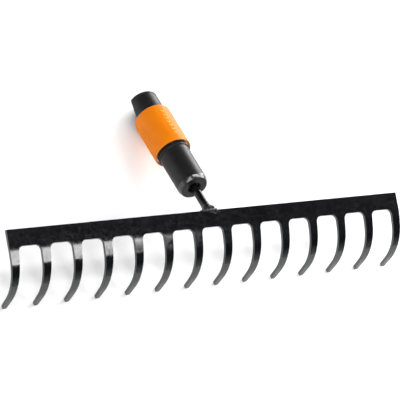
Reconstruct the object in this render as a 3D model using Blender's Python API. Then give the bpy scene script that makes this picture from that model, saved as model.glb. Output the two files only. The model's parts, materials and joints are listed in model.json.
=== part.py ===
"""Garden rake head: a bent steel tine plate with a sliding-sleeve quick coupling for a handle.

The plate is drawn in the rake frame: X along the bar, Y towards the back, Z up the bar, with
the bar's top front edge on the X axis. The coupling is drawn in its own frame, whose Z axis is
the handle axis and whose Y axis points to the underside. The whole head stands on its tine tips
and the end of the nose. All lengths are in metres.
"""
from math import acos, atan2, cos, pi, radians, sin, sqrt

import bmesh
import bpy
from mathutils import Vector

MM = 0.001
GAP = 0.3 * MM                      # clearance kept between pieces that touch

# Tine plate
TINE_COUNT = 14
TINE_PITCH = 29 * MM
TINE_ROOT_WIDTH = 8.3 * MM
TINE_TIP_WIDTH = 3.9 * MM
TIP_CORNER = 1.2 * MM
PLATE_THICKNESS = 2.8 * MM
BAR_HEIGHT = 14.25 * MM
GAP_CORNER = 4.5 * MM               # radius of the rounded corners between tines
ROOT_BEND_ANGLE = radians(10.2)
ROOT_BEND_LENGTH = 10 * MM
TINE_STRAIGHT = 3.6 * MM
TINE_ARC_RADIUS = 35.2 * MM
TIP_ANGLE = radians(68.3)
TIP_STRAIGHT = 11.7 * MM

# Handle axis
HANDLE_ANGLE = radians(57.35)       # from the rake frame's Y axis towards Z

# Tang rod and its fasteners, stations measured along the handle axis from the bar
TANG_RADIUS = 3.25 * MM
THREAD_RADIUS = 2.45 * MM
TANG_SHOULDER = 53.7 * MM
TANG_END = 66.5 * MM
COLLAR_FLATS = 9.4 * MM
COLLAR_HEIGHT = 4 * MM
NUT_FLATS = 8 * MM
NUT_HEIGHT = 4 * MM
WASHER_RADIUS = 4.7 * MM
WASHER_HEIGHT = 1 * MM

# Coupling body
BODY_START = 27.1 * MM
BODY_RADIUS = 13.3 * MM
BODY_CHAMFER = (1.5 * MM, 3.8 * MM)  # radial and axial size
RECESS_RADIUS = 5.8 * MM
RECESS_DEPTH = 8 * MM
SOCKET_RADIUS = 5.0 * MM
SOCKET_FLOOR = 60 * MM
FLANGE_START = 66.2 * MM
FLANGE_END = 70.2 * MM
FLANGE_RADIUS = 14.15 * MM
CORE_RADIUS = 11.8 * MM
CORE_END = 98 * MM
SPIGOT_RADIUS = 8.5 * MM
SPIGOT_END = 114 * MM

# Nose, the end piece round the socket mouth, with its slanted index flat
NOSE_RADIUS = 13.5 * MM
NOSE_END = 132.5 * MM
NOSE_CHAMFER = 1.0 * MM
FLAT_AZIMUTH = radians(135)
FLAT_START = 104 * MM
FLAT_DEPTH_END = 6.8 * MM           # distance from the axis to the flat at the nose's end
FLAT_SLOPE = 0.215
DOWEL_RADIUS = 1.5 * MM
DOWEL_STATION = 106 * MM
DOWEL_AZIMUTHS = (225, 345)

# Release sleeve, its spring and the locking pins
SLEEVE_START = 69.3 * MM
SLEEVE_END = 112.4 * MM
SLEEVE_RADIUS = 16.4 * MM
SLEEVE_TOP_ROUND = (1.6 * MM, 1.9 * MM)
CHAMBER_RADIUS = 15.2 * MM
RIB_START = 86 * MM
SLEEVE_TRAVEL = 6 * MM
CAM_RATIO = 0.15                    # pin travel for each unit of sleeve travel
PIN_COUNT = 3
PIN_STATION = 92 * MM
PIN_RADIUS = 2.0 * MM
PIN_INNER_TIP = 4.1 * MM
SEAT_HEIGHT = 1 * MM
SPRING_WIRE = 0.7 * MM              # wire radius
SPRING_RADIUS = 13.5 * MM
SPRING_TURNS = 4.5

# Weld bead between the tang rod and the bar
BEAD_RADII = (8.5 * MM, 5.4 * MM, 4.2 * MM)

ROUND_STEPS = 48


# ---------------------------------------------------------------- shared helpers

def clear_scene():
    for old in list(bpy.data.objects):
        bpy.data.objects.remove(old, do_unlink=True)


def make_material(name, colour, roughness, metallic):
    material = bpy.data.materials.new(name)
    material.use_nodes = True
    shader = material.node_tree.nodes["Principled BSDF"]
    shader.inputs["Base Color"].default_value = (*colour, 1)
    shader.inputs["Roughness"].default_value = roughness
    shader.inputs["Metallic"].default_value = metallic
    return material


def black_paint():
    return make_material("black_paint", (0.015, 0.015, 0.018), 0.28, 0.0)


def black_plastic():
    return make_material("black_plastic", (0.02, 0.02, 0.021), 0.42, 0.0)


def orange_plastic():
    return make_material("orange_plastic", (0.84, 0.23, 0.02), 0.38, 0.0)


def bright_steel():
    return make_material("bright_steel", (0.55, 0.55, 0.56), 0.3, 1.0)


def add_empty(name, parent=None):
    empty = bpy.data.objects.new(name, None)
    bpy.context.scene.collection.objects.link(empty)
    empty.parent = parent
    return empty


def add_part(name, mesh_builder, material, parent):
    """Turns a bmesh into a named object and shades it smooth up to 35 degree edges."""
    mesh = bpy.data.meshes.new(name)
    bmesh.ops.recalc_face_normals(mesh_builder, faces=mesh_builder.faces)
    mesh_builder.to_mesh(mesh)
    mesh_builder.free()
    mesh.shade_smooth()
    mesh.set_sharp_from_angle(angle=radians(35))
    part = bpy.data.objects.new(name, mesh)
    bpy.context.scene.collection.objects.link(part)
    part.parent = parent
    if material:
        mesh.materials.append(material)
    return part


def lathe(profile, steps=ROUND_STEPS):
    """Spins a closed loop of (radius, station) points round the Z axis."""
    bm = bmesh.new()
    rings = []
    for radius, station in profile:
        if radius == 0:
            ring = [bm.verts.new((0, 0, station))] * steps
        else:
            angles = [2 * pi * step / steps for step in range(steps)]
            ring = [bm.verts.new((radius * cos(a), radius * sin(a), station)) for a in angles]
        rings.append(ring)
    for ring, following in zip(rings, rings[1:] + rings[:1]):
        for step in range(steps):
            other = (step + 1) % steps
            corners = [ring[step], ring[other], following[other], following[step]]
            corners = list(dict.fromkeys(corners))
            if len(corners) > 2:
                bm.faces.new(corners)
    return bm


def prism(sides, across_flats, start, end, bore):
    """A nut or collar: a regular prism from one station to another with a round bore."""
    bm = bmesh.new()
    steps = sides * 6
    rings = []
    for station in (start, end):
        inner = []
        outer = []
        for step in range(steps):
            angle = 2 * pi * step / steps
            offset = (angle % (2 * pi / sides)) - pi / sides
            reach = across_flats / 2 / cos(offset)
            inner.append(bm.verts.new((bore * cos(angle), bore * sin(angle), station)))
            outer.append(bm.verts.new((reach * cos(angle), reach * sin(angle), station)))
        rings.append((inner, outer))
    (inner_low, outer_low), (inner_high, outer_high) = rings
    for step in range(steps):
        other = (step + 1) % steps
        for a, b in ((outer_low, outer_high), (inner_low, inner_high),
                     (inner_low, outer_low), (inner_high, outer_high)):
            bm.faces.new((a[step], a[other], b[other], b[step]))
    return bm


def add_cutter(name, bm, parent):
    """A shape that only cuts others: drawn as wire and left out of the model."""
    cutter = add_part(name, bm, None, parent)
    cutter.hide_render = True
    cutter.display_type = "WIRE"
    return cutter


def cut(part, cutter):
    modifier = part.modifiers.new(cutter.name, "BOOLEAN")
    modifier.operation = "DIFFERENCE"
    modifier.solver = "EXACT"
    modifier.object = cutter


def radial_pose(part, station, azimuth):
    """Lays a part's Z axis along the outward radius at one azimuth and station."""
    part.rotation_euler = (0, pi / 2, azimuth)
    part.location = (0, 0, station)


# ---------------------------------------------------------------- tine plate

def plate_length():
    """Length along the plate from the bar's top edge to the tine tips."""
    arc_length = TINE_ARC_RADIUS * (TIP_ANGLE - ROOT_BEND_ANGLE)
    return BAR_HEIGHT + ROOT_BEND_LENGTH + TINE_STRAIGHT + arc_length + TIP_STRAIGHT


def bend_angle(length):
    past_bar = length - BAR_HEIGHT
    if past_bar <= 0:
        return 0.0
    root = ROOT_BEND_ANGLE * min(past_bar / ROOT_BEND_LENGTH, 1)
    arc = max(past_bar - ROOT_BEND_LENGTH - TINE_STRAIGHT, 0) / TINE_ARC_RADIUS
    return min(root + arc, TIP_ANGLE)


def front_point(length):
    """Where the plate's front face is, in the rake frame's Y and Z, at a length along it."""
    y = 0.0
    z = -min(length, BAR_HEIGHT)
    past_bar = length - BAR_HEIGHT
    steps = 64
    if past_bar > 0:
        for step in range(steps):
            angle = bend_angle(BAR_HEIGHT + past_bar * (step + 0.5) / steps)
            y += sin(angle) * past_bar / steps
            z -= cos(angle) * past_bar / steps
    return y, z


def tine_half_width(length, filleted):
    """Half width of a tine, wider in the rounded root corner and narrower at the tip corner."""
    total = plate_length()
    past_bar = length - BAR_HEIGHT
    share = past_bar / (total - BAR_HEIGHT)
    half = (TINE_ROOT_WIDTH + (TINE_TIP_WIDTH - TINE_ROOT_WIDTH) * share) / 2
    if filleted and past_bar < GAP_CORNER:
        half += GAP_CORNER - sqrt(GAP_CORNER ** 2 - (GAP_CORNER - past_bar) ** 2)
    to_tip = total - length
    if to_tip < TIP_CORNER:
        half -= TIP_CORNER - sqrt(TIP_CORNER ** 2 - (TIP_CORNER - to_tip) ** 2)
    return half


def tine_stations():
    """Lengths at which a tine has a row of points: fine in its corners, coarser on its arc."""
    total = plate_length()
    rows = [BAR_HEIGHT + GAP_CORNER * (1 - cos(radians(angle))) for angle in range(0, 90, 18)]
    rows += [BAR_HEIGHT + GAP_CORNER, BAR_HEIGHT + 7 * MM, BAR_HEIGHT + ROOT_BEND_LENGTH]
    arc_start = BAR_HEIGHT + ROOT_BEND_LENGTH + TINE_STRAIGHT
    arc_end = total - TIP_STRAIGHT
    arc_rows = 12
    rows += [arc_start + (arc_end - arc_start) * row / arc_rows for row in range(arc_rows + 1)]
    rows += [total - TIP_CORNER * share for share in (1, 0.5, 0.13, 0)]
    return rows


def tine_centres():
    middle = (TINE_COUNT - 1) / 2
    return [(number - middle) * TINE_PITCH for number in range(TINE_COUNT)]


def build_tine_plate(parent):
    """Bar and tines as one plate: a developed outline laid along the bent profile."""
    bm = bmesh.new()
    front = {}

    def corner(x, length):
        key = (round(x, 7), round(length, 7))
        if key not in front:
            y, z = front_point(length)
            front[key] = (bm.verts.new((x, y, z)), length)
        return front[key][0]

    rows = tine_stations()
    bar_edges = []
    for number, centre in enumerate(tine_centres()):
        left_open = number > 0
        right_open = number < TINE_COUNT - 1
        strips = []
        for row in rows:
            left = centre - tine_half_width(row, left_open)
            right = centre + tine_half_width(row, right_open)
            strips.append((corner(left, row), corner(right, row)))
        for above, below in zip(strips, strips[1:]):
            bm.faces.new((above[0], below[0], below[1], above[1]))
        bar_edges.append(centre - tine_half_width(BAR_HEIGHT, left_open))
        bar_edges.append(centre + tine_half_width(BAR_HEIGHT, right_open))
    for left, right in zip(bar_edges, bar_edges[1:]):
        low_left = corner(left, BAR_HEIGHT)
        low_right = corner(right, BAR_HEIGHT)
        bm.faces.new((corner(left, 0), low_left, low_right, corner(right, 0)))

    back = {}
    for vertex, length in front.values():
        angle = bend_angle(length)
        inward = Vector((0, cos(angle), sin(angle))) * PLATE_THICKNESS
        back[vertex] = bm.verts.new(vertex.co + inward)
    rims = [edge for edge in bm.edges if edge.is_boundary]
    for face in list(bm.faces):
        bm.faces.new([back[vertex] for vertex in reversed(face.verts)])
    for edge in rims:
        first, second = edge.verts
        bm.faces.new((first, second, back[second], back[first]))
    return add_part("tine_plate", bm, black_paint(), parent)


# ---------------------------------------------------------------- tang rod, weld and fasteners

def build_tang_rod(parent):
    """Round rod, cut level above the bar at its foot, with a thread at its upper end."""
    bm = lathe([(0, 0), (TANG_RADIUS, 0), (TANG_RADIUS, TANG_SHOULDER),
                (THREAD_RADIUS, TANG_SHOULDER), (THREAD_RADIUS, TANG_END), (0, TANG_END)], 32)
    for vertex in bm.verts:
        if vertex.co.z == 0:
            vertex.co.z = (GAP + vertex.co.y * cos(HANDLE_ANGLE)) / sin(HANDLE_ANGLE)
    return add_part("tang_rod", bm, black_paint(), parent)


def build_weld_bead(rake_frame, coupling_frame):
    """Bead wrapped round the foot of the rod and over the bar's top edge."""
    bm = bmesh.new()
    bmesh.ops.create_uvsphere(bm, u_segments=28, v_segments=14, radius=1)
    bmesh.ops.scale(bm, vec=BEAD_RADII, verts=bm.verts)
    bead = add_part("weld_bead", bm, black_paint(), rake_frame)
    bead.location = (0, PLATE_THICKNESS / 2, 0.2 * MM)
    rod_hole = lathe([(0, -20 * MM), (TANG_RADIUS + GAP, -20 * MM),
                      (TANG_RADIUS + GAP, 20 * MM), (0, 20 * MM)], 32)
    cut(bead, add_cutter("bead_rod_cutter", rod_hole, coupling_frame))
    slot = bmesh.new()
    bmesh.ops.create_cube(slot, size=1)
    bmesh.ops.scale(slot, vec=(40 * MM, PLATE_THICKNESS + 2 * GAP, 20 * MM), verts=slot.verts)
    bar_slot = add_cutter("bead_bar_cutter", slot, rake_frame)
    bar_slot.location = (0, PLATE_THICKNESS / 2, GAP - 10 * MM)
    cut(bead, bar_slot)
    return bead


def build_tang_fasteners(parent):
    recess_floor = BODY_START + RECESS_DEPTH
    collar_end = recess_floor - GAP
    collar = prism(6, COLLAR_FLATS, collar_end - COLLAR_HEIGHT, collar_end, TANG_RADIUS + GAP)
    add_part("tang_collar", collar, black_paint(), parent)
    washer_start = SOCKET_FLOOR + GAP
    washer_end = washer_start + WASHER_HEIGHT
    bore = THREAD_RADIUS + GAP
    washer = lathe([(bore, washer_start), (WASHER_RADIUS, washer_start),
                    (WASHER_RADIUS, washer_end), (bore, washer_end)], 32)
    add_part("tang_washer", washer, bright_steel(), parent)
    nut_start = washer_end + GAP
    nut = prism(6, NUT_FLATS, nut_start, nut_start + NUT_HEIGHT, bore)
    add_part("tang_nut", nut, bright_steel(), parent)


# ---------------------------------------------------------------- coupling body and nose

def body_profile():
    rod_hole = TANG_RADIUS + GAP
    thread_hole = THREAD_RADIUS + GAP
    chamfer_radial, chamfer_axial = BODY_CHAMFER
    recess_floor = BODY_START + RECESS_DEPTH
    web = TANG_SHOULDER + GAP
    step = 0.5 * MM
    return [
        (RECESS_RADIUS, BODY_START), (BODY_RADIUS - chamfer_radial, BODY_START),
        (BODY_RADIUS, BODY_START + chamfer_axial), (BODY_RADIUS, FLANGE_START),
        (FLANGE_RADIUS - step, FLANGE_START), (FLANGE_RADIUS, FLANGE_START + step),
        (FLANGE_RADIUS, FLANGE_END), (CORE_RADIUS, FLANGE_END), (CORE_RADIUS, CORE_END),
        (SPIGOT_RADIUS, CORE_END), (SPIGOT_RADIUS, SPIGOT_END), (SOCKET_RADIUS, SPIGOT_END),
        (SOCKET_RADIUS, SOCKET_FLOOR), (thread_hole, SOCKET_FLOOR), (thread_hole, web),
        (rod_hole, web), (rod_hole, recess_floor), (RECESS_RADIUS, recess_floor),
    ]


def radial_hole_cutter(name, radius, inner, outer, station, azimuth, parent):
    bm = lathe([(0, inner), (radius, inner), (radius, outer), (0, outer)], 24)
    cutter = add_cutter(name, bm, parent)
    radial_pose(cutter, station, azimuth)
    return cutter


def build_coupling_body(parent):
    """Barrel, stop flange and core in one moulding, with the socket bored down its middle."""
    body = add_part("coupling_body", lathe(body_profile()), black_plastic(), parent)
    for number in range(PIN_COUNT):
        azimuth = 2 * pi * number / PIN_COUNT - pi / 2
        cut(body, radial_hole_cutter("pin_hole_cutter_%d" % (number + 1), PIN_RADIUS + GAP,
                                     2 * MM, 16 * MM, PIN_STATION, azimuth, parent))
    for number, azimuth in enumerate(DOWEL_AZIMUTHS):
        cut(body, radial_hole_cutter("body_dowel_cutter_%d" % (number + 1), DOWEL_RADIUS + GAP,
                                     6.3 * MM, 16 * MM, DOWEL_STATION, radians(azimuth), parent))
    return body


def flat_depth(station):
    """Distance from the handle axis to the slanted index flat."""
    return FLAT_DEPTH_END + FLAT_SLOPE * (NOSE_END - station)


def build_nose(parent):
    spigot_hole = SPIGOT_RADIUS + GAP
    start = CORE_END + GAP
    spigot_floor = SPIGOT_END + GAP
    nose = add_part("socket_nose", lathe([
        (spigot_hole, start), (NOSE_RADIUS, start), (NOSE_RADIUS, NOSE_END - NOSE_CHAMFER),
        (NOSE_RADIUS - NOSE_CHAMFER, NOSE_END), (SOCKET_RADIUS + 0.5 * MM, NOSE_END),
        (SOCKET_RADIUS, NOSE_END - 0.5 * MM), (SOCKET_RADIUS, spigot_floor),
        (spigot_hole, spigot_floor)]), black_plastic(), parent)
    wedge = bmesh.new()
    side = 20 * MM
    top = NOSE_END + 5 * MM
    outline = [(flat_depth(FLAT_START), FLAT_START), (side, FLAT_START),
               (side, top), (flat_depth(top), top)]
    edges = [[wedge.verts.new((x, y, z)) for x, z in outline] for y in (-side, side)]
    wedge.faces.new(edges[0])
    wedge.faces.new(edges[1])
    for corner in range(4):
        following = (corner + 1) % 4
        wedge.faces.new((edges[0][corner], edges[0][following],
                         edges[1][following], edges[1][corner]))
    flat_cutter = add_cutter("index_flat_cutter", wedge, parent)
    flat_cutter.rotation_euler = (0, 0, FLAT_AZIMUTH)
    cut(nose, flat_cutter)
    for number, azimuth in enumerate(DOWEL_AZIMUTHS):
        cut(nose, radial_hole_cutter("nose_dowel_cutter_%d" % (number + 1), DOWEL_RADIUS + GAP,
                                     7 * MM, 16 * MM, DOWEL_STATION, radians(azimuth), parent))
    return nose


def build_dowels(parent):
    """Two short dowels that hold the nose on the body's spigot."""
    for number, azimuth in enumerate(DOWEL_AZIMUTHS):
        bm = lathe([(0, 6.6 * MM), (DOWEL_RADIUS, 6.6 * MM),
                    (DOWEL_RADIUS, 13.1 * MM), (0, 13.1 * MM)], 20)
        dowel = add_part("nose_dowel_%d" % (number + 1), bm, bright_steel(), parent)
        radial_pose(dowel, DOWEL_STATION, radians(azimuth))


# ---------------------------------------------------------------- release sleeve and lock

def sleeve_profile():
    """Bottom edge, outside up to the rounded top, then the bore, ledge, cam and rib inside."""
    rounded = []
    radial, axial = SLEEVE_TOP_ROUND
    for step in range(6):
        angle = radians(90 * step / 5)
        rounded.append((SLEEVE_RADIUS - radial * (1 - cos(angle)),
                        SLEEVE_END - axial + axial * sin(angle)))
    guide_bore = NOSE_RADIUS + GAP
    rib_bore = CORE_RADIUS + GAP
    cam_end = PIN_STATION + SLEEVE_TRAVEL
    cam_bore = rib_bore + CAM_RATIO * SLEEVE_TRAVEL
    edge = 0.4 * MM
    return [
        (CHAMBER_RADIUS, SLEEVE_START), (SLEEVE_RADIUS - edge, SLEEVE_START),
        (SLEEVE_RADIUS, SLEEVE_START + edge), *rounded, (guide_bore, SLEEVE_END),
        (guide_bore, cam_end), (cam_bore, cam_end), (rib_bore, PIN_STATION),
        (rib_bore, RIB_START), (CHAMBER_RADIUS, RIB_START),
    ]


def build_release_sleeve(parent):
    return add_part("release_sleeve", lathe(sleeve_profile()), orange_plastic(), parent)


def build_lock_pins(parent):
    """Radial pins with rounded ends, held into the socket by the sleeve's rib."""
    outer = CORE_RADIUS
    dome = 0.8 * MM
    for number in range(PIN_COUNT):
        bm = lathe([(0, PIN_INNER_TIP), (PIN_RADIUS - dome, PIN_INNER_TIP),
                    (PIN_RADIUS, PIN_INNER_TIP + dome), (PIN_RADIUS, outer - dome),
                    (PIN_RADIUS - dome, outer), (0, outer)], 24)
        pin = add_part("lock_pin_%d" % (number + 1), bm, bright_steel(), parent)
        radial_pose(pin, PIN_STATION, 2 * pi * number / PIN_COUNT - pi / 2)


def build_spring_seat(parent):
    start = FLANGE_END + GAP
    bore = CORE_RADIUS + GAP
    rim = CHAMBER_RADIUS - 0.4 * MM
    seat = lathe([(bore, start), (rim, start), (rim, start + SEAT_HEIGHT),
                  (bore, start + SEAT_HEIGHT)])
    return add_part("spring_seat", seat, bright_steel(), parent)


def build_return_spring(parent):
    """Round-wire compression spring between the seat and the sleeve's rib."""
    low = FLANGE_END + SEAT_HEIGHT + 2 * GAP + SPRING_WIRE
    high = RIB_START - GAP - SPRING_WIRE
    steps_per_turn = 20
    count = int(SPRING_TURNS * steps_per_turn)
    sides = 8
    pitch_angle = atan2(high - low, SPRING_TURNS * 2 * pi * SPRING_RADIUS)
    bm = bmesh.new()
    rings = []
    for step in range(count + 1):
        turn = 2 * pi * step / steps_per_turn
        outward = Vector((cos(turn), sin(turn), 0))
        along = Vector((-sin(turn) * cos(pitch_angle), cos(turn) * cos(pitch_angle),
                        sin(pitch_angle)))
        upward = outward.cross(along)
        centre = outward * SPRING_RADIUS + Vector((0, 0, low + (high - low) * step / count))
        ring = []
        for side in range(sides):
            angle = 2 * pi * side / sides
            offset = outward * cos(angle) + upward * sin(angle)
            ring.append(bm.verts.new(centre + offset * SPRING_WIRE))
        rings.append(ring)
    for ring, following in zip(rings, rings[1:]):
        for side in range(sides):
            other = (side + 1) % sides
            bm.faces.new((ring[side], ring[other], following[other], following[side]))
    bm.faces.new(rings[0])
    bm.faces.new(rings[-1])
    return add_part("return_spring", bm, bright_steel(), parent)


# ---------------------------------------------------------------- assembly and stance

def resting_angle():
    """Lean of the bar that puts the back of the tine tips and the nose's lower rim on one level."""
    front_y, front_z = front_point(plate_length())
    tip_y = front_y + PLATE_THICKNESS * cos(TIP_ANGLE)
    tip_z = front_z + PLATE_THICKNESS * sin(TIP_ANGLE)
    station = NOSE_END - NOSE_CHAMFER
    half_angle = acos(flat_depth(station) / NOSE_RADIUS)
    drop = NOSE_RADIUS * sin(FLAT_AZIMUTH - half_angle)
    rim_y = PLATE_THICKNESS / 2 + station * cos(HANDLE_ANGLE) + drop * sin(HANDLE_ANGLE)
    rim_z = station * sin(HANDLE_ANGLE) - drop * cos(HANDLE_ANGLE)
    return atan2(rim_y - tip_y, rim_z - tip_z)


def build_frames():
    rake_frame = add_empty("rake_frame")
    rake_frame.rotation_euler = (resting_angle() - pi / 2, 0, 0)
    coupling_frame = add_empty("coupling_frame", rake_frame)
    coupling_frame.location = (0, PLATE_THICKNESS / 2, 0)
    coupling_frame.rotation_euler = (HANDLE_ANGLE - pi / 2, 0, 0)
    return rake_frame, coupling_frame


def stand_on_ground(frame):
    """Moves the head so that its box stands on the ground, centred on the origin."""
    bpy.context.view_layer.update()
    graph = bpy.context.evaluated_depsgraph_get()
    ys = []
    zs = []
    for part in bpy.data.objects:
        if part.type != "MESH" or part.hide_render:
            continue
        solid = part.evaluated_get(graph)
        for vertex in solid.data.vertices:
            point = solid.matrix_world @ vertex.co
            ys.append(point.y)
            zs.append(point.z)
    frame.location = (0, -(min(ys) + max(ys)) / 2, -min(zs))
    bpy.context.view_layer.update()


def main():
    clear_scene()
    rake_frame, coupling_frame = build_frames()
    build_tine_plate(rake_frame)
    build_weld_bead(rake_frame, coupling_frame)
    build_tang_rod(coupling_frame)
    build_tang_fasteners(coupling_frame)
    build_coupling_body(coupling_frame)
    build_nose(coupling_frame)
    build_dowels(coupling_frame)
    build_spring_seat(coupling_frame)
    build_return_spring(coupling_frame)
    build_release_sleeve(coupling_frame)
    build_lock_pins(coupling_frame)
    stand_on_ground(rake_frame)


main()
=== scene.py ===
"""Looks of a garden rake head with a quick coupling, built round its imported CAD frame.

The plate and its weld are drawn in the rake frame: X along the bar, Y to the back, Z up the bar,
with the bar's top front edge on the X axis. The coupling's pieces are drawn in the handle frame:
Z along the handle, towards the socket mouth, and Y to the underside. Lengths are in metres.
"""

import json
from math import atan2, ceil, cos, exp, pi, radians, sin, sqrt

import bmesh
import bpy
from mathutils import Matrix, Vector


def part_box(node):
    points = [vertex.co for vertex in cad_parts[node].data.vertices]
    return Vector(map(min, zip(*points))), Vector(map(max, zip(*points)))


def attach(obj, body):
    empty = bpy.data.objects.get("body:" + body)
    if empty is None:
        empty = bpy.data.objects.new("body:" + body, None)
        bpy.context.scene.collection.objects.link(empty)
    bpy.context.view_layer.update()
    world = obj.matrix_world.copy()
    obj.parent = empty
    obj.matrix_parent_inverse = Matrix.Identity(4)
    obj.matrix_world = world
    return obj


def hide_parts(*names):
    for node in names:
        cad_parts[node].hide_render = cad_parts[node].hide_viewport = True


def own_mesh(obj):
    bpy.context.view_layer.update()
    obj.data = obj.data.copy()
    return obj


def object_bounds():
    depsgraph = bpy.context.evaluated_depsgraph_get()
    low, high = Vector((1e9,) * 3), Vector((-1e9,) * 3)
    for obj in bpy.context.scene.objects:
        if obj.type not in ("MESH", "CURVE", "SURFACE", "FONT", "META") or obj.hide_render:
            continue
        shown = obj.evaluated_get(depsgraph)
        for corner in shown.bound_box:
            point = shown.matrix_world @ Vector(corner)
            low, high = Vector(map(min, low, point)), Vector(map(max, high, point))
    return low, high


MM = 0.001
CLEARANCE = 0.3 * MM

# Tine plate
TINE_COUNT = 14
TINE_PITCH = 29 * MM
TINE_ROOT_WIDTH = 8.3 * MM
TINE_TIP_WIDTH = 3.9 * MM
TIP_CORNER = 1.2 * MM
PLATE_THICKNESS = 2.8 * MM
BAR_HEIGHT = 14.25 * MM
GAP_CORNER = 4.5 * MM
ROOT_BEND_ANGLE = radians(10.2)
ROOT_BEND_LENGTH = 10 * MM
TINE_STRAIGHT = 3.6 * MM
TINE_ARC_RADIUS = 35.2 * MM
TIP_ANGLE = radians(68.3)
TIP_STRAIGHT = 11.7 * MM
PLATE_EDGE_ROUND = 0.45 * MM

# Handle axis and tang rod
HANDLE_ANGLE = radians(57.35)
TANG_RADIUS = 3.25 * MM
TANG_COAT = 0.35 * MM  # build-up on the rod's open length
THREAD_RADIUS = 2.45 * MM
TANG_SHOULDER = 53.7 * MM
TANG_END = 66.5 * MM
THREAD_PITCH = 0.8 * MM
THREAD_DEPTH = 0.2 * MM

# Weld at the rod's foot
WELD_LUMP = (4.8 * MM, 3.0 * MM, 2.2 * MM)
WELD_RIPPLES = 9
WELD_PITCH = 1.6 * MM
WELD_VOXEL = 0.3 * MM
FLARE_LENGTH = 9.5 * MM
FLARE_WIDTH = 2.7 * MM
FLARE_FADE = 3.0 * MM
FOOT_LUMP = (2.0 * MM, 1.1 * MM, 1.0 * MM)
SPATTER_COUNT = 5
SPATTER_PITCH = 1.9 * MM

# Coupling body
BODY_START = 27.1 * MM
BODY_RADIUS = 13.3 * MM
BODY_CHAMFER = (1.5 * MM, 3.8 * MM)
RECESS_RADIUS = 5.8 * MM
RECESS_DEPTH = 8 * MM
SOCKET_RADIUS = 5.0 * MM
SOCKET_FLOOR = 60 * MM
FLANGE_START = 66.2 * MM
FLANGE_END = 70.2 * MM
FLANGE_RADIUS = 14.15 * MM
CORE_RADIUS = 11.8 * MM
CORE_END = 98 * MM
SPIGOT_RADIUS = 8.5 * MM
SPIGOT_END = 114 * MM

# Nose round the socket mouth, with its slanted flat
NOSE_RADIUS = 13.5 * MM
NOSE_END = 132.5 * MM
NOSE_CHAMFER = 1.0 * MM
NOSE_GROOVE = 130 * MM
FLAT_AZIMUTH = radians(135)
FLAT_START = 104 * MM
FLAT_DEPTH_END = 6.8 * MM
FLAT_SLOPE = 0.215
DOWEL_RADIUS = 1.5 * MM
DOWEL_STATION = 106 * MM
DOWEL_AZIMUTHS = (radians(225), radians(345))
DRILL_REACH = 16 * MM

# Release sleeve, spring and pins
SLEEVE_START = 69.3 * MM
SLEEVE_END = 112.4 * MM
SLEEVE_RADIUS = 16.4 * MM
SLEEVE_TOP_ROUND = (1.6 * MM, 1.9 * MM)
CHAMBER_RADIUS = 15.2 * MM
RIB_START = 86 * MM
SLEEVE_TRAVEL = 6 * MM
CAM_RATIO = 0.15
GRIP_CENTRES = (12, 168)  # degrees round the axis
GRIP_HALF_SPAN = 19  # degrees
GRIP_PITCH = 5.4  # degrees
GRIP_HEIGHT = 0.45 * MM
GRIP_STATIONS = (74 * MM, 107 * MM)
GRIP_FADE = 2 * MM
ARROW_COUNT = 7
ARROW_START = 77.5 * MM
ARROW_PITCH = 4.3 * MM
ARROW_AZIMUTH = radians(270)
ARROW_HALF_WIDTH = 1.6 * MM
ARROW_BAND = 1.1 * MM
ARROW_SWEEP = 0.9
ARROW_TAPER = 0.15 * MM
ARROW_HEIGHT = 0.4 * MM
SLEEVE_SINK = 0.2 * MM  # how far below the sleeve's surface its raised marks start
PIN_COUNT = 3
PIN_STATION = 92 * MM
PIN_RADIUS = 2.0 * MM
SEAT_HEIGHT = 1 * MM
SPRING_WIRE = 0.7 * MM
SPRING_RADIUS = 13.5 * MM
SPRING_TURNS = 4.5

# Camera, placed from the middle of the head
CAMERA_AZIMUTH = radians(-54.9)
CAMERA_ELEVATION = radians(49.1)
CAMERA_ROLL = radians(41.71)
CAMERA_DISTANCE = 2.41
CAMERA_AIM = Vector((-7.68, -34.11, 26.42)) * MM
CAMERA_LENS = 261.1

# Studio, in metres: each softbox is its middle, its width and height, and its radiance
BAR_STRIP = ((0.42, -0.49, 1.0), (0.27, 0.37), 10)
GRIP_STRIP = ((0.35, 0.20, 1.0), (0.95, 0.17), 9)
RIGHT_BOX = ((1.15, 0.32, 0.63), (1.1, 0.8), 7)
FAR_RIGHT_BOX = ((0.95, 0.68, 0.25), (0.7, 0.45), 9)
FRONT_BOX_DISTANCE = 2.9
FRONT_BOX_SIZE = (2.6, 2.6)
FRONT_BOX_RADIANCE = 4.2
HORIZON_LEVEL = 0.8
SKY_LEVEL = 0.03
SKY_START = 0.38
FLOOR_TONE = (0.88, 0.88, 0.88)
FLOOR_HALF = 6.0
FLOOR_DROP = 0.2 * MM

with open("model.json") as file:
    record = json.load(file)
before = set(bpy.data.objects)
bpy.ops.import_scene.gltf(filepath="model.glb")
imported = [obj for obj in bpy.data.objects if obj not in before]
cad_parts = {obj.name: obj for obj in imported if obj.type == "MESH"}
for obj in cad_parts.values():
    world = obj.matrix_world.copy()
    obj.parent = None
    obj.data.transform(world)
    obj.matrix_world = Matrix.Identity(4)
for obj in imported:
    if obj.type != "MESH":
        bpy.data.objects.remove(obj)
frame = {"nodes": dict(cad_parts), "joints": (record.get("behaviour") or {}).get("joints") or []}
cad_low, cad_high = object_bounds()


# ---------------------------------------------------------------- frames

def box_middle(node):
    low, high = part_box(node)
    return (low + high) / 2


def handle_direction():
    slide = next(joint for joint in frame["joints"] if joint["name"] == "sleeve_slide")
    return -Vector(slide["axis"]).normalized()


def axes_matrix(x_axis, y_axis, z_axis, origin):
    matrix = Matrix((x_axis, y_axis, z_axis)).transposed().to_4x4()
    matrix.translation = origin
    return matrix


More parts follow.
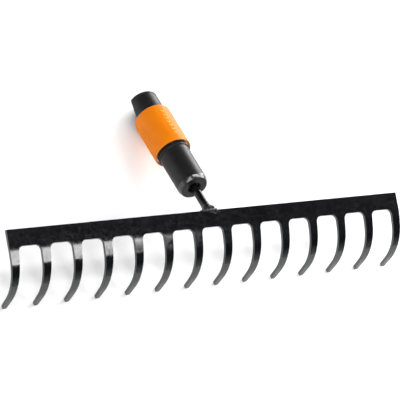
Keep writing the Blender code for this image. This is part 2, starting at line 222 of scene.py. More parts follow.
def find_handle_frame():
    """The three locking pins stand evenly round the handle axis, so their middle is on it."""
    along = handle_direction()
    pins = [box_middle("lock_pin_%d" % (number + 1)) for number in range(PIN_COUNT)]
    origin = sum(pins, Vector()) / PIN_COUNT - along * PIN_STATION
    across = Vector((1, 0, 0))
    return axes_matrix(across, along.cross(across), along, origin)


def find_rake_frame():
    """The bar's top front edge is the plate's highest line."""
    along = handle_direction()
    tilt = atan2(along.z, along.y) - HANDLE_ANGLE
    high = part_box("tine_plate")[1]
    origin = Vector((0, high.y - PLATE_THICKNESS * cos(tilt), high.z))
    return Matrix.Translation(origin) @ Matrix.Rotation(tilt, 4, "X")


HANDLE_FRAME = find_handle_frame()
RAKE_FRAME = find_rake_frame()


# ---------------------------------------------------------------- material helpers

class Finish:
    """A Principled material whose colour, roughness and bump come from object-space noise."""

    def __init__(self, name, roughness, metallic=0.0):
        self.material = bpy.data.materials.new(name)
        self.material.use_nodes = True
        self.nodes = self.material.node_tree.nodes
        self.links = self.material.node_tree.links
        self.shader = self.nodes["Principled BSDF"]
        self.shader.inputs["Roughness"].default_value = roughness
        self.shader.inputs["Metallic"].default_value = metallic
        self.coordinates = self.nodes.new("ShaderNodeTexCoord").outputs["Object"]
        self.normal = None

    def specular(self, level):
        self.shader.inputs["Specular IOR Level"].default_value = level

    def noise(self, size, detail, stretch=None):
        """Noise with features of about one size, stretched along an axis if asked."""
        texture = self.nodes.new("ShaderNodeTexNoise")
        texture.inputs["Scale"].default_value = 1 / size
        texture.inputs["Detail"].default_value = detail
        source = self.coordinates
        if stretch:
            mapping = self.nodes.new("ShaderNodeMapping")
            mapping.inputs["Scale"].default_value = stretch
            self.links.new(source, mapping.inputs["Vector"])
            source = mapping.outputs["Vector"]
        self.links.new(source, texture.inputs["Vector"])
        return texture.outputs["Fac"]

    def tones(self, size, dark, light, end=0.7, stretch=None):
        """Patches of about one size that run from a dark tone to a light one."""
        ramp = self.nodes.new("ShaderNodeValToRGB")
        for element, position, tone in zip(ramp.color_ramp.elements, (0.3, end), (dark, light)):
            element.position = position
            element.color = (*tone, 1)
        self.links.new(self.noise(size, 4, stretch), ramp.inputs["Fac"])
        return ramp.outputs["Color"]

    def spread(self, source, low, high, start=0.3, end=0.7):
        """Maps a mask's middle range onto a range of values."""
        spread = self.nodes.new("ShaderNodeMapRange")
        for name, value in (("From Min", start), ("From Max", end), ("To Min", low), ("To Max", high)):
            spread.inputs[name].default_value = value
        self.links.new(source, spread.inputs["Value"])
        return spread.outputs["Result"]

    def edge_wear_and_highlight(self, tone, paler, start, end):
        """Blends a paler colour over a tone along sharp outer edges: partly wear, partly a painted
        edge highlight.
        """
        pointiness = self.nodes.new("ShaderNodeNewGeometry").outputs["Pointiness"]
        mix = self.nodes.new("ShaderNodeMix")
        mix.data_type = "RGBA"
        self.links.new(self.spread(pointiness, 0.0, 1.0, start, end), mix.inputs["Factor"])
        self.links.new(tone, mix.inputs["A"])
        mix.inputs["B"].default_value = (*paler, 1)
        return mix.outputs["Result"]

    def colour(self, source):
        self.links.new(source, self.shader.inputs["Base Color"])

    def roughness(self, source):
        self.links.new(source, self.shader.inputs["Roughness"])

    def bump(self, height, distance, strength):
        bump = self.nodes.new("ShaderNodeBump")
        bump.inputs["Distance"].default_value = distance
        bump.inputs["Strength"].default_value = strength
        self.links.new(height, bump.inputs["Height"])
        if self.normal:
            self.links.new(self.normal, bump.inputs["Normal"])
        self.normal = bump.outputs["Normal"]
        self.links.new(self.normal, self.shader.inputs["Normal"])


def black_enamel():
    """Stoved black enamel, glossy with a slight orange peel, and paler along sharp edges, partly as
    wear and partly as a painted edge highlight.
    """
    finish = Finish("black_enamel", 0.1)
    tone = finish.tones(9 * MM, (0.002, 0.002, 0.003), (0.005, 0.005, 0.0065))
    # paler sharp edges: partly wear, partly a painted edge highlight
    finish.colour(finish.edge_wear_and_highlight(tone, (0.09, 0.09, 0.095), start=0.54, end=0.66))
    finish.roughness(finish.spread(finish.noise(2.6 * MM, 5), 0.06, 0.2))
    finish.bump(finish.noise(6 * MM, 2), 0.08 * MM, 0.4)
    finish.bump(finish.noise(1.1 * MM, 2), 0.015 * MM, 0.3)
    finish.specular(0.75)
    return finish.material


def weld_enamel():
    """Glossy black enamel over the uneven skin of the weld and its spatter."""
    finish = Finish("weld_enamel", 0.12)
    finish.colour(finish.tones(2 * MM, (0.002, 0.002, 0.003), (0.004, 0.004, 0.005), end=0.75))
    finish.roughness(finish.spread(finish.noise(1.5 * MM, 4), 0.04, 0.12))
    finish.bump(finish.noise(1.3 * MM, 3), 0.3 * MM, 0.8)
    finish.specular(0.5)
    return finish.material


def rod_enamel():
    """Black enamel on the rod, less glossy than on the plate."""
    finish = Finish("rod_enamel", 0.12)
    finish.colour(finish.tones(3 * MM, (0.002, 0.002, 0.003), (0.005, 0.005, 0.006), end=0.75))
    finish.roughness(finish.spread(finish.noise(1.5 * MM, 4), 0.08, 0.2))
    finish.bump(finish.noise(1.3 * MM, 3), 0.03 * MM, 0.4)
    finish.specular(0.35)
    return finish.material


def black_moulding():
    """Satin black moulded plastic with a fine spark-eroded grain."""
    finish = Finish("black_moulding", 0.4)
    tone = finish.tones(6 * MM, (0.006, 0.006, 0.0065), (0.010, 0.010, 0.0105))
    # paler sharp edges: partly wear, partly a painted edge highlight
    finish.colour(finish.edge_wear_and_highlight(tone, (0.06, 0.06, 0.062), start=0.53, end=0.66))
    finish.roughness(finish.spread(finish.noise(2.5 * MM, 5), 0.34, 0.46))
    finish.bump(finish.noise(0.45 * MM, 3), 0.01 * MM, 0.25)
    finish.specular(0.26)
    return finish.material


def polished_highlit_moulding():
    """The same black plastic, glossier where the mould was polished, with a paler tone that is a
    painted highlight.
    """
    finish = Finish("polished_highlit_moulding", 0.14)
    # paler than the black moulding: a painted highlight on the chamfer's bright band
    finish.colour(finish.tones(5 * MM, (0.012, 0.012, 0.013), (0.02, 0.02, 0.021)))
    finish.roughness(finish.spread(finish.noise(1.5 * MM, 5), 0.08, 0.2))
    finish.bump(finish.noise(1.2 * MM, 3), 0.02 * MM, 0.3)
    finish.specular(0.85)
    return finish.material


def orange_moulding(name, deep, bright):
    """Satin orange plastic between two tones, a little paler on its raised edges as a painted
    highlight.
    """
    finish = Finish(name, 0.4)
    tone = finish.tones(11 * MM, deep, bright, stretch=(1, 0.5, 0.5))
    # paler raised edges: a painted highlight
    finish.colour(finish.edge_wear_and_highlight(tone, (0.98, 0.5, 0.05), start=0.52, end=0.62))
    finish.roughness(finish.spread(finish.noise(2.5 * MM, 5), 0.34, 0.46))
    finish.bump(finish.noise(0.45 * MM, 3), 0.015 * MM, 0.3)
    finish.specular(0.12)
    return finish.material


def zinc_plate():
    """Zinc-plated steel with turning marks and dull patches."""
    finish = Finish("zinc_plate", 0.3, 1.0)
    finish.colour(finish.tones(3 * MM, (0.42, 0.42, 0.43), (0.62, 0.62, 0.61)))
    finish.roughness(finish.spread(finish.noise(1.2 * MM, 5), 0.24, 0.42))
    finish.bump(finish.noise(0.5 * MM, 3, (1, 6, 6)), 0.02 * MM, 0.5)
    return finish.material


# ---------------------------------------------------------------- mesh helpers

def make_object(name, builder, matrix=None):
    """Turns a bmesh into an object in the world and shades it smooth between sharp edges."""
    if matrix:
        bmesh.ops.transform(builder, matrix=matrix, verts=builder.verts)
    bmesh.ops.recalc_face_normals(builder, faces=builder.faces)
    mesh = bpy.data.meshes.new(name)
    builder.to_mesh(mesh)
    builder.free()
    mesh.shade_smooth()
    mesh.set_sharp_from_angle(angle=radians(35))
    piece = bpy.data.objects.new(name, mesh)
    bpy.context.scene.collection.objects.link(piece)
    return piece


def finish_piece(piece, material, slot, body, *nodes):
    """Gives a piece its material, lets it ride, and hides the nodes it stands for; slot is not used.
    """
    piece.data.materials.append(material)
    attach(piece, body)
    if nodes:
        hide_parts(*nodes)


def settle_modifiers(piece):
    """Writes a piece's modifiers into its mesh."""
    graph = bpy.context.evaluated_depsgraph_get()
    settled = bpy.data.meshes.new_from_object(piece.evaluated_get(graph))
    piece.modifiers.clear()
    piece.data = settled


def round_edges(piece, width, segments=3, angle=50):
    bevel = piece.modifiers.new("rounded_edges", "BEVEL")
    bevel.width = width
    bevel.segments = segments
    bevel.limit_method = "ANGLE"
    bevel.angle_limit = radians(angle)
    bevel.harden_normals = True


def rounded_loop(points, radius):
    """A closed loop of (radius, station) points with every corner eased by up to one radius."""
    segments = 3
    loop = []
    for before, corner, after in zip(points[-1:] + points[:-1], points, points[1:] + points[:1]):
        corner = Vector(corner)
        arms = [Vector(before) - corner, Vector(after) - corner]
        reach = min(radius, *(arm.length * 0.45 for arm in arms))
        first, last = (corner + arm.normalized() * reach for arm in arms)
        for step in range(segments + 1):
            share = step / segments
            eased = first * (1 - share) ** 2 + corner * 2 * share * (1 - share) + last * share ** 2
            loop.append((eased.x, eased.y))
    return loop


def subdivided_loop(points, longest):
    """The same loop with long straight runs split."""
    loop = []
    for start, end in zip(points, points[1:] + points[:1]):
        start = Vector(start)
        run = Vector(end) - start
        parts = max(1, ceil(run.length / longest))
        loop += [tuple(start + run * part / parts) for part in range(parts)]
    return loop


def lathe(profile, steps, reshape=None):
    """Spins a closed loop of (radius, station) points round the Z axis.

    reshape may move each point: it is given radius, azimuth and station and returns a point.
    """
    bm = bmesh.new()
    rings = []
    for radius, station in profile:
        ring = []
        for step in range(steps):
            azimuth = 2 * pi * step / steps
            point = (radius * cos(azimuth), radius * sin(azimuth), station)
            if reshape:
                point = reshape(radius, azimuth, station)
            ring.append(bm.verts.new(point))
        rings.append(ring)
    for ring, following in zip(rings, rings[1:] + rings[:1]):
        for step in range(steps):
            other = (step + 1) % steps
            bm.faces.new((ring[step], ring[other], following[other], following[step]))
    bmesh.ops.remove_doubles(bm, verts=bm.verts, dist=1e-7)
    return bm


def join_rings(bm, rings):
    """Joins a row of like rings of vertices into a closed tube."""
    for ring, following in zip(rings, rings[1:]):
        for side in range(len(ring)):
            other = (side + 1) % len(ring)
            bm.faces.new((ring[side], ring[other], following[other], following[side]))
    bm.faces.new(rings[0])
    bm.faces.new(rings[-1])


def radial_matrix(station, azimuth):
    """Lays local Z along the outward radius at one azimuth and station of the handle frame."""
    turn = Matrix.Rotation(azimuth, 4, "Z") @ Matrix.Rotation(pi / 2, 4, "Y")
    return HANDLE_FRAME @ Matrix.Translation((0, 0, station)) @ turn


def drill(piece, holes):
    """Bores (radius, inner, outer, station, azimuth) holes square to the handle axis."""
    drills = []
    for radius, inner, outer, station, azimuth in holes:
        tool = lathe([(0, inner), (radius, inner), (radius, outer), (0, outer)], 32)
        cutter = make_object("drill", tool, radial_matrix(station, azimuth))
        cut = piece.modifiers.new("hole", "BOOLEAN")
        cut.operation = "DIFFERENCE"
        cut.solver = "EXACT"
        cut.object = cutter
        drills.append(cutter)
    settle_modifiers(piece)
    piece.data.set_sharp_from_angle(angle=radians(35))
    for cutter in drills:
        bpy.data.objects.remove(cutter, do_unlink=True)


# ---------------------------------------------------------------- tine plate

def plate_length():
    """Length along the plate from the bar's top edge to the tine tips."""
    arc_length = TINE_ARC_RADIUS * (TIP_ANGLE - ROOT_BEND_ANGLE)
    return BAR_HEIGHT + ROOT_BEND_LENGTH + TINE_STRAIGHT + arc_length + TIP_STRAIGHT


def bend_angle(length):
    past_bar = length - BAR_HEIGHT
    if past_bar <= 0:
        return 0.0
    root = ROOT_BEND_ANGLE * min(past_bar / ROOT_BEND_LENGTH, 1)
    arc = max(past_bar - ROOT_BEND_LENGTH - TINE_STRAIGHT, 0) / TINE_ARC_RADIUS
    return min(root + arc, TIP_ANGLE)


def front_point(length):
    """Where the plate's front face is, in the rake frame's Y and Z, at a length along it."""
    y = 0.0
    z = -min(length, BAR_HEIGHT)
    past_bar = length - BAR_HEIGHT
    steps = 64
    if past_bar > 0:
        for step in range(steps):
            angle = bend_angle(BAR_HEIGHT + past_bar * (step + 0.5) / steps)
            y += sin(angle) * past_bar / steps
            z -= cos(angle) * past_bar / steps
    return y, z


def tine_half_width(length, filleted):
    """Half width of a tine, wider in the rounded root corner and narrower at the tip corner."""
    past_bar = length - BAR_HEIGHT
    share = past_bar / (plate_length() - BAR_HEIGHT)
    half = (TINE_ROOT_WIDTH + (TINE_TIP_WIDTH - TINE_ROOT_WIDTH) * share) / 2
    if filleted and past_bar < GAP_CORNER:
        half += GAP_CORNER - sqrt(GAP_CORNER ** 2 - (GAP_CORNER - past_bar) ** 2)
    to_tip = plate_length() - length
    if to_tip < TIP_CORNER:
        half -= TIP_CORNER - sqrt(TIP_CORNER ** 2 - (TIP_CORNER - to_tip) ** 2)
    return half


def tine_rows():
    """Lengths at which a tine has a row of points, close together in its corners."""
    total = plate_length()
    corner_steps = 9
    root_rows = 8
    arc_rows = 34
    tip_rows = 3
    corner_shares = (1, 0.6, 0.3, 0.1, 0)
    rows = [BAR_HEIGHT + GAP_CORNER * (1 - cos(pi / 2 * step / corner_steps))
            for step in range(corner_steps)]
    root_end = BAR_HEIGHT + ROOT_BEND_LENGTH
    root_step = (root_end - BAR_HEIGHT - GAP_CORNER) / root_rows
    rows += [BAR_HEIGHT + GAP_CORNER + root_step * row for row in range(root_rows)]
    rows.append(root_end)
    arc_start = root_end + TINE_STRAIGHT
    arc_end = total - TIP_STRAIGHT
    rows += [arc_start + (arc_end - arc_start) * row / arc_rows for row in range(arc_rows + 1)]
    rows += [arc_end + (TIP_STRAIGHT - TIP_CORNER) * row / tip_rows for row in range(1, tip_rows)]
    rows += [total - TIP_CORNER * share for share in corner_shares]
    return rows


def tine_plate_mesh():
    """Bar and tines as one plate: a flat outline laid along the bent profile."""
    bm = bmesh.new()
    front = {}

    def corner(x, length):
        key = (round(x, 7), round(length, 7))
        if key not in front:
            front[key] = (bm.verts.new((x, *front_point(length))), length)
        return front[key][0]

    bar_steps = 4
    bar_rows = [BAR_HEIGHT * step / bar_steps for step in range(bar_steps + 1)]
    rows = tine_rows()
    bar_edges = []
    for number in range(TINE_COUNT):
        centre = (number - (TINE_COUNT - 1) / 2) * TINE_PITCH
        left_open = number > 0
        right_open = number < TINE_COUNT - 1
        strips = []
        for row in rows:
            left = centre - tine_half_width(row, left_open)
            right = centre + tine_half_width(row, right_open)
            strips.append((corner(left, row), corner(right, row)))
        for above, below in zip(strips, strips[1:]):
            bm.faces.new((above[0], below[0], below[1], above[1]))
        bar_edges.append(centre - tine_half_width(BAR_HEIGHT, left_open))
        bar_edges.append(centre + tine_half_width(BAR_HEIGHT, right_open))
    for left, right in zip(bar_edges, bar_edges[1:]):
        for top, bottom in zip(bar_rows, bar_rows[1:]):
            bm.faces.new((corner(left, top), corner(left, bottom),
                          corner(right, bottom), corner(right, top)))

    back = {}
    for vertex, length in front.values():
        angle = bend_angle(length)
        inward = Vector((0, cos(angle), sin(angle))) * PLATE_THICKNESS
        back[vertex] = bm.verts.new(vertex.co + inward)
    rims = [edge for edge in bm.edges if edge.is_boundary]
    for face in list(bm.faces):
        bm.faces.new([back[vertex] for vertex in reversed(face.verts)])
    for edge in rims:
        first, second = edge.verts
        bm.faces.new((first, second, back[second], back[first]))
    return bm


def build_tine_plate(enamel):
    plate = make_object("tine_plate_enamelled", tine_plate_mesh(), RAKE_FRAME)
    round_edges(plate, PLATE_EDGE_ROUND)
    settle_modifiers(plate)
    finish_piece(plate, enamel, "black_paint", "head", "tine_plate")


# ---------------------------------------------------------------- weld and tang rod

def add_lump(bm, centre, radii):
    placed = Matrix.Translation(centre) @ Matrix.Diagonal((*radii, 1))
    bmesh.ops.create_icosphere(bm, subdivisions=3, radius=1, matrix=placed)


def weld_flare():
    """Metal drawn up round the foot of the rod, in the rake frame."""
    rows = 14
    inner = 1 * MM
    profile = [(inner, -1 * MM)]
    for row in range(rows):
        station = FLARE_LENGTH * row / (rows - 1)
        ripple = 0.12 * MM * sin(station / (0.45 * MM))
        widening = FLARE_WIDTH * exp(-station / FLARE_FADE)
        profile.append((TANG_RADIUS + TANG_COAT - 0.1 * MM + widening + ripple, station))
    profile.append((inner, FLARE_LENGTH))
    bm = lathe(profile, 40)
    bmesh.ops.transform(bm, matrix=RAKE_FRAME.inverted() @ HANDLE_FRAME, verts=bm.verts)
    return bm


def add_ripples(bm):
    """A run of overlapping ripples on each side of the rod's foot, highest in the middle."""
    for number in range(WELD_RIPPLES):
        offset = (number - (WELD_RIPPLES - 1) / 2) * WELD_PITCH
        swell = cos(offset / (9 * MM)) ** 2
        for side in (-1, 1):
            sway = 0.25 * sin(3.1 * number + side) * MM
            across = side * (1.25 + 1.7 * swell) * MM + sway
            centre = (offset + 0.4 * side * MM, PLATE_THICKNESS / 2 + across, 0)
            add_lump(bm, centre, (1.15 * MM, 1.2 * MM, (0.8 + 0.9 * swell) * MM))


def add_spatter(bm):
    """One lump at the foot and a row of smaller and smaller beads on the bar's front face."""
    add_lump(bm, (-3.4 * MM, -0.1 * MM, -0.7 * MM), FOOT_LUMP)
    for number in range(SPATTER_COUNT):
        along = 1.6 * MM + SPATTER_PITCH * number
        drop = (1.4 + 0.8 * (number % 3)) * MM
        size = (0.95 - 0.08 * number) * MM
        add_lump(bm, (along, 0, -drop), (size * 1.2, size, size))


def build_weld(enamel):
    """Flare, ripples and spatter, fused into one skin."""
    bm = weld_flare()
    add_lump(bm, (0, PLATE_THICKNESS / 2, 0), WELD_LUMP)
    add_ripples(bm)
    add_spatter(bm)
    bead = make_object("weld_rippled", bm, RAKE_FRAME)
    remesh = bead.modifiers.new("fused", "REMESH")
    remesh.mode = "VOXEL"
    remesh.voxel_size = WELD_VOXEL
    soften = bead.modifiers.new("soften", "SMOOTH")
    soften.factor = 0.5
    soften.iterations = 2
    settle_modifiers(bead)
    bead.data.shade_smooth()
    finish_piece(bead, enamel, "black_paint", "head", "weld_bead")


def build_tang_rod(enamel):
    """Round rod with its foot cut to the bar's top edge and a thinner threaded end."""
    coated = TANG_RADIUS + TANG_COAT
    root = THREAD_RADIUS - THREAD_DEPTH
    profile = [(0, 0), (coated, 0), (coated, BODY_START - TANG_COAT), (TANG_RADIUS, BODY_START),
               (TANG_RADIUS, TANG_SHOULDER)]
    turns = int((TANG_END - TANG_SHOULDER - THREAD_PITCH) / THREAD_PITCH)
    for turn in range(turns):
        station = TANG_SHOULDER + THREAD_PITCH * (turn + 0.5)
        profile += [(root, station), (THREAD_RADIUS, station + THREAD_PITCH / 2)]
    profile += [(root, TANG_END), (0, TANG_END)]
    rod = lathe(subdivided_loop(profile, 4 * MM), 48)
    foot = [vertex for vertex in rod.verts if vertex.co.z < 1e-9]
    for vertex in foot:
        vertex.co.z = (CLEARANCE + vertex.co.y * cos(HANDLE_ANGLE)) / sin(HANDLE_ANGLE)
    piece = make_object("tang_rod_enamelled", rod, HANDLE_FRAME)
    finish_piece(piece, enamel, "black_paint", "head", "tang_rod")


# ---------------------------------------------------------------- coupling body and nose

def pin_azimuth(number):
    return 2 * pi * number / PIN_COUNT - pi / 2


def dowel_holes(inner):
    radius = DOWEL_RADIUS + CLEARANCE
    return [(radius, inner, DRILL_REACH, DOWEL_STATION, azimuth) for azimuth in DOWEL_AZIMUTHS]


def pin_holes():
    radius = PIN_RADIUS + CLEARANCE
    return [(radius, 2 * MM, DRILL_REACH, PIN_STATION, pin_azimuth(number))
            for number in range(PIN_COUNT)]


def body_profile():
    """Out along the lower end, up the barrel, flange and spigot, and down the stepped bore."""
    chamfer_radial, chamfer_axial = BODY_CHAMFER
    rod_hole = TANG_RADIUS + CLEARANCE
    thread_hole = THREAD_RADIUS + CLEARANCE
    recess_floor = BODY_START + RECESS_DEPTH
    web = TANG_SHOULDER + CLEARANCE
    return rounded_loop([
        (RECESS_RADIUS, BODY_START), (BODY_RADIUS - chamfer_radial, BODY_START),
        (BODY_RADIUS, BODY_START + chamfer_axial), (BODY_RADIUS, FLANGE_START),
        (FLANGE_RADIUS, FLANGE_START), (FLANGE_RADIUS, FLANGE_END),
        (CORE_RADIUS, FLANGE_END), (CORE_RADIUS, CORE_END),
        (SPIGOT_RADIUS, CORE_END), (SPIGOT_RADIUS, SPIGOT_END), (SOCKET_RADIUS, SPIGOT_END),
        (SOCKET_RADIUS, SOCKET_FLOOR), (thread_hole, SOCKET_FLOOR), (thread_hole, web),
        (rod_hole, web), (rod_hole, recess_floor), (RECESS_RADIUS, recess_floor),
    ], 0.45 * MM)


def polish_chamfer(body, polished):
    """Gives the chamfer at the barrel's lower end its own material, glossier and with a painted
    highlight in its paler tone.
    """
    body.data.materials.append(polished)
    into_handle = HANDLE_FRAME.inverted()
    start = BODY_START + 0.05 * MM
    end = BODY_START + BODY_CHAMFER[1] + 0.1 * MM
    past_recess = RECESS_RADIUS + 1 * MM
    for face in body.data.polygons:
        centre = into_handle @ face.center
        radius = sqrt(centre.x ** 2 + centre.y ** 2)
        if start < centre.z < end and radius > past_recess:
            face.material_index = 1


def build_coupling_body(moulding, polished):
    body = make_object("coupling_body_moulded", lathe(body_profile(), 128), HANDLE_FRAME)
    drill(body, pin_holes() + dowel_holes(inner=6.3 * MM))
    finish_piece(body, moulding, "black_plastic", "head", "coupling_body")
    polish_chamfer(body, polished)


def nose_point(radius, azimuth, station):
    """A point of the nose, pulled in to the slanted flat where it would stand beyond it."""
    out = radius * cos(azimuth - FLAT_AZIMUTH)
    along = radius * sin(azimuth - FLAT_AZIMUTH)
    if station > FLAT_START:
        depth = FLAT_DEPTH_END + FLAT_SLOPE * (NOSE_END - station)
        soft = 0.15 * MM
        over = out - depth
        if over > -2 * MM:
            out -= (over + sqrt(over * over + 4 * soft * soft)) / 2
    turned = Vector((out, along, station))
    turned.rotate(Matrix.Rotation(FLAT_AZIMUTH, 3, "Z"))
    return turned


def nose_profile():
    """Up the outside with its groove, over the chamfered mouth and down the socket and spigot hole."""
    spigot_hole = SPIGOT_RADIUS + CLEARANCE
    start = CORE_END + CLEARANCE
    spigot_floor = SPIGOT_END + CLEARANCE
    groove = 0.4 * MM
    mouth = 0.5 * MM
    corners = rounded_loop([
        (spigot_hole, start), (NOSE_RADIUS, start), (NOSE_RADIUS, NOSE_GROOVE - groove),
        (NOSE_RADIUS - groove, NOSE_GROOVE - groove * 0.6),
        (NOSE_RADIUS - groove, NOSE_GROOVE + groove * 0.6), (NOSE_RADIUS, NOSE_GROOVE + groove),
        (NOSE_RADIUS, NOSE_END - NOSE_CHAMFER), (NOSE_RADIUS - NOSE_CHAMFER, NOSE_END),
        (SOCKET_RADIUS + mouth, NOSE_END), (SOCKET_RADIUS, NOSE_END - mouth),
        (SOCKET_RADIUS, spigot_floor), (spigot_hole, spigot_floor),
    ], 0.35 * MM)
    return subdivided_loop(corners, 1.2 * MM)


def build_nose(moulding):
    nose = make_object("socket_nose_moulded", lathe(nose_profile(), 144, nose_point), HANDLE_FRAME)
    drill(nose, dowel_holes(inner=7 * MM))
    finish_piece(nose, moulding, "black_plastic", "head", "socket_nose")


# ---------------------------------------------------------------- release sleeve

def grip_height(azimuth, station):
    """Height of the lengthwise grip ribs on the sleeve's two sides, fading out at their ends."""
    start, end = GRIP_STATIONS
    fade = min(station - start, end - station) / GRIP_FADE
    if fade <= 0:
        return 0.0
    degrees_round = azimuth * 180 / pi
    for centre in GRIP_CENTRES:
        offset = (degrees_round - centre + 180) % 360 - 180
        if abs(offset) < GRIP_HALF_SPAN:
            wave = sin(pi * (offset + GRIP_HALF_SPAN) / GRIP_PITCH) ** 2
            return GRIP_HEIGHT * wave * min(fade, 1)
    return 0.0


def sleeve_point(radius, azimuth, station):
    if radius > SLEEVE_RADIUS - SLEEVE_SINK:
        radius += grip_height(azimuth, station)
    return (radius * cos(azimuth), radius * sin(azimuth), station)


def sleeve_profile():
    """Down the bore past its cam, rib and spring chamber, and up the outside to the rounded top."""
    radial, axial = SLEEVE_TOP_ROUND
    guide_bore = NOSE_RADIUS + CLEARANCE
    rib_bore = CORE_RADIUS + CLEARANCE
    cam_end = PIN_STATION + SLEEVE_TRAVEL
    cam_bore = rib_bore + CAM_RATIO * SLEEVE_TRAVEL
    top_steps = 8
    rounded = []
    for step in range(top_steps + 1):
        angle = pi / 2 * step / top_steps
        rounded.append((SLEEVE_RADIUS - radial * (1 - cos(angle)),
                        SLEEVE_END - axial + axial * sin(angle)))
    corners = rounded_loop([
        (guide_bore, SLEEVE_END), (guide_bore, cam_end), (cam_bore, cam_end),
        (rib_bore, PIN_STATION), (rib_bore, RIB_START), (CHAMBER_RADIUS, RIB_START),
        (CHAMBER_RADIUS, SLEEVE_START), (SLEEVE_RADIUS, SLEEVE_START),
        (SLEEVE_RADIUS, SLEEVE_START + 5 * MM)], 0.3 * MM)
    return subdivided_loop(corners + rounded, 1.5 * MM)


def arrow_mesh(station):
    """One raised chevron that points towards the rake, the way the sleeve is pulled."""
    bm = bmesh.new()
    columns = 8
    low = SLEEVE_RADIUS - SLEEVE_SINK
    high = SLEEVE_RADIUS + ARROW_HEIGHT
    rings = []
    for column in range(columns + 1):
        across = ARROW_HALF_WIDTH * (2 * column / columns - 1)
        azimuth = ARROW_AZIMUTH + across / SLEEVE_RADIUS
        tip = station - ARROW_BAND + abs(across) * ARROW_SWEEP
        corners = ((low, tip), (high, tip + ARROW_TAPER),
                   (high, tip + ARROW_BAND - ARROW_TAPER), (low, tip + ARROW_BAND))
        rings.append([bm.verts.new((radius * cos(azimuth), radius * sin(azimuth), height))
                      for radius, height in corners])
    join_rings(bm, rings)
    return bm


def build_sleeve(moulding, highlit_moulding):
    sleeve = make_object("release_sleeve_moulded",
                         lathe(sleeve_profile(), 400, sleeve_point), HANDLE_FRAME)
    finish_piece(sleeve, moulding, "orange_plastic", "sleeve", "release_sleeve")
    for number in range(ARROW_COUNT):
        station = ARROW_START + ARROW_PITCH * number
        arrow = make_object("sleeve_arrow_%d" % (number + 1), arrow_mesh(station), HANDLE_FRAME)
        round_edges(arrow, 0.08 * MM, segments=2, angle=40)
        # the chevrons take the paler orange copy: a painted highlight on the raised marks
        finish_piece(arrow, highlit_moulding, "orange_plastic", "sleeve")


# ---------------------------------------------------------------- spring and small steel pieces

def spring_centres(low, high):
    """Points along the wire of a compression spring with closed ends."""
    steps_per_turn = 40
    closed = 0.75
    centres = []
    for step in range(int(SPRING_TURNS * steps_per_turn) + 1):
        turns = step / steps_per_turn
        climb = min(max((turns - closed) / (SPRING_TURNS - 2 * closed), 0), 1)
        angle = 2 * pi * turns
        centres.append(Vector((SPRING_RADIUS * cos(angle), SPRING_RADIUS * sin(angle),
                               low + (high - low) * climb)))
    return centres


def build_spring(steel):
    """Return spring at its resting length, fixed to the head; the real spring shortens as the sleeve
    is pulled.
    """
    low = FLANGE_END + SEAT_HEIGHT + 2 * CLEARANCE + SPRING_WIRE
    high = RIB_START - CLEARANCE - SPRING_WIRE
    sides = 12
    bm = bmesh.new()
    rings = []
    for centre in spring_centres(low, high):
        outward = Vector((centre.x, centre.y, 0)).normalized()
        ring = []
        for side in range(sides):
            angle = 2 * pi * side / sides
            offset = outward * cos(angle) + Vector((0, 0, 1)) * sin(angle)
            ring.append(bm.verts.new(centre + offset * SPRING_WIRE))
        rings.append(ring)
    join_rings(bm, rings)
    spring = make_object("return_spring_coiled", bm, HANDLE_FRAME)
    finish_piece(spring, steel, "bright_steel", "head", "return_spring")
    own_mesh(spring)


def dress_node(name, material):
    """A plain turned or pressed piece keeps its shape, with rounded edges."""
    node = frame["nodes"][name]
    node.data.materials.clear()
    node.data.materials.append(material)
    round_edges(node, 0.2 * MM, segments=2, angle=40)


def dress_small_parts(steel, enamel):
    dress_node("tang_collar", enamel)
    names = ["tang_nut", "tang_washer", "spring_seat", "nose_dowel_1", "nose_dowel_2"]
    names += ["lock_pin_%d" % (number + 1) for number in range(PIN_COUNT)]
    for name in names:
        dress_node(name, steel)


# ---------------------------------------------------------------- stage, lights and camera

def build_floor():
    material = bpy.data.materials.new("pale_floor")
    material.use_nodes = True
    shader = material.node_tree.nodes["Principled BSDF"]
    shader.inputs["Base Color"].default_value = (*FLOOR_TONE, 1)
    shader.inputs["Roughness"].default_value = 0.9
    bm = bmesh.new()
    corners = [bm.verts.new((x * FLOOR_HALF, y * FLOOR_HALF, -FLOOR_DROP))
               for x, y in ((-1, -1), (1, -1), (1, 1), (-1, 1))]
    bm.faces.new(corners)
    floor = make_object("floor", bm)
    floor.data.materials.append(material)


def add_softbox(name, middle, size, radiance, target=None):
    """A rectangular softbox of even radiance that faces a target, or straight down without one."""
    width, height = size
    light = bpy.data.lights.new(name, "AREA")
    light.shape = "RECTANGLE"
    light.size = width
    light.size_y = height
    light.energy = radiance * pi * width * height
    lamp = bpy.data.objects.new(name, light)
    bpy.context.scene.collection.objects.link(lamp)
    lamp.location = middle
    lamp.visible_camera = False
    if target is not None:
        lamp.rotation_mode = "QUATERNION"
        lamp.rotation_quaternion = (target - Vector(middle)).to_track_quat("-Z", "Y")


def build_lights():
    """Two overhead strips, two softboxes to the right and a wide one behind the camera."""
    head_middle = (cad_low + cad_high) / 2
    add_softbox("bar_strip", *BAR_STRIP)
    add_softbox("grip_strip", *GRIP_STRIP)
    add_softbox("right_box", *RIGHT_BOX, head_middle)
    add_softbox("far_right_box", *FAR_RIGHT_BOX, head_middle)
    add_softbox("front_box", head_middle + camera_back() * FRONT_BOX_DISTANCE,
                FRONT_BOX_SIZE, FRONT_BOX_RADIANCE, head_middle)


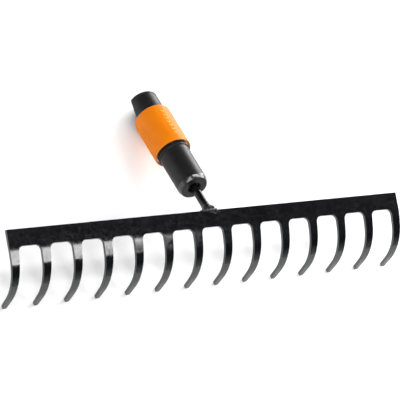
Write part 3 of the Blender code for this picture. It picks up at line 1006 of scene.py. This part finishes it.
def build_horizon():
    """A world that is pale at the horizon and darkens towards the sky."""
    world = bpy.data.worlds.new("studio")
    bpy.context.scene.world = world
    world.use_nodes = True
    nodes = world.node_tree.nodes
    links = world.node_tree.links
    direction = nodes.new("ShaderNodeTexCoord")
    split = nodes.new("ShaderNodeSeparateXYZ")
    ramp = nodes.new("ShaderNodeValToRGB")
    stops = ((0.0, HORIZON_LEVEL), (SKY_START, SKY_LEVEL))
    for element, (height, level) in zip(ramp.color_ramp.elements, stops):
        element.position = height
        element.color = (level, level, level, 1)
    links.new(direction.outputs["Generated"], split.inputs["Vector"])
    links.new(split.outputs["Z"], ramp.inputs["Fac"])
    links.new(ramp.outputs["Color"], nodes["Background"].inputs["Color"])


def camera_back():
    """Direction from the head to the camera."""
    return Vector((sin(CAMERA_AZIMUTH) * cos(CAMERA_ELEVATION),
                   -cos(CAMERA_AZIMUTH) * cos(CAMERA_ELEVATION), sin(CAMERA_ELEVATION)))


def build_camera():
    """Looks down on the head from front left, with the camera rolled."""
    back = camera_back()
    level = Vector((cos(CAMERA_AZIMUTH), sin(CAMERA_AZIMUTH), 0))
    upright = back.cross(level)
    right = level * cos(CAMERA_ROLL) + upright * sin(CAMERA_ROLL)
    data = bpy.data.cameras.new("camera")
    data.lens = CAMERA_LENS
    camera = bpy.data.objects.new("camera", data)
    bpy.context.scene.collection.objects.link(camera)
    aim = (cad_low + cad_high) / 2 + CAMERA_AIM
    camera.matrix_world = axes_matrix(right, back.cross(right), back, aim + back * CAMERA_DISTANCE)
    bpy.context.scene.camera = camera
    bpy.context.scene.view_settings.view_transform = "Standard"


# ---------------------------------------------------------------- the whole scene

enamel = black_enamel()
moulding = black_moulding()
zinc = zinc_plate()
build_tine_plate(enamel)
build_weld(weld_enamel())
build_tang_rod(rod_enamel())
build_coupling_body(moulding, polished_highlit_moulding())
build_nose(moulding)
# the second, paler orange is a painted highlight for the raised chevrons
build_sleeve(orange_moulding("orange_moulding", (0.64, 0.160, 0.003), (0.70, 0.187, 0.004)),
             orange_moulding("highlit_orange_moulding", (0.85, 0.40, 0.04), (0.90, 0.46, 0.06)))
build_spring(zinc)
dress_small_parts(zinc, enamel)
build_floor()
build_lights()
build_horizon()
build_camera()
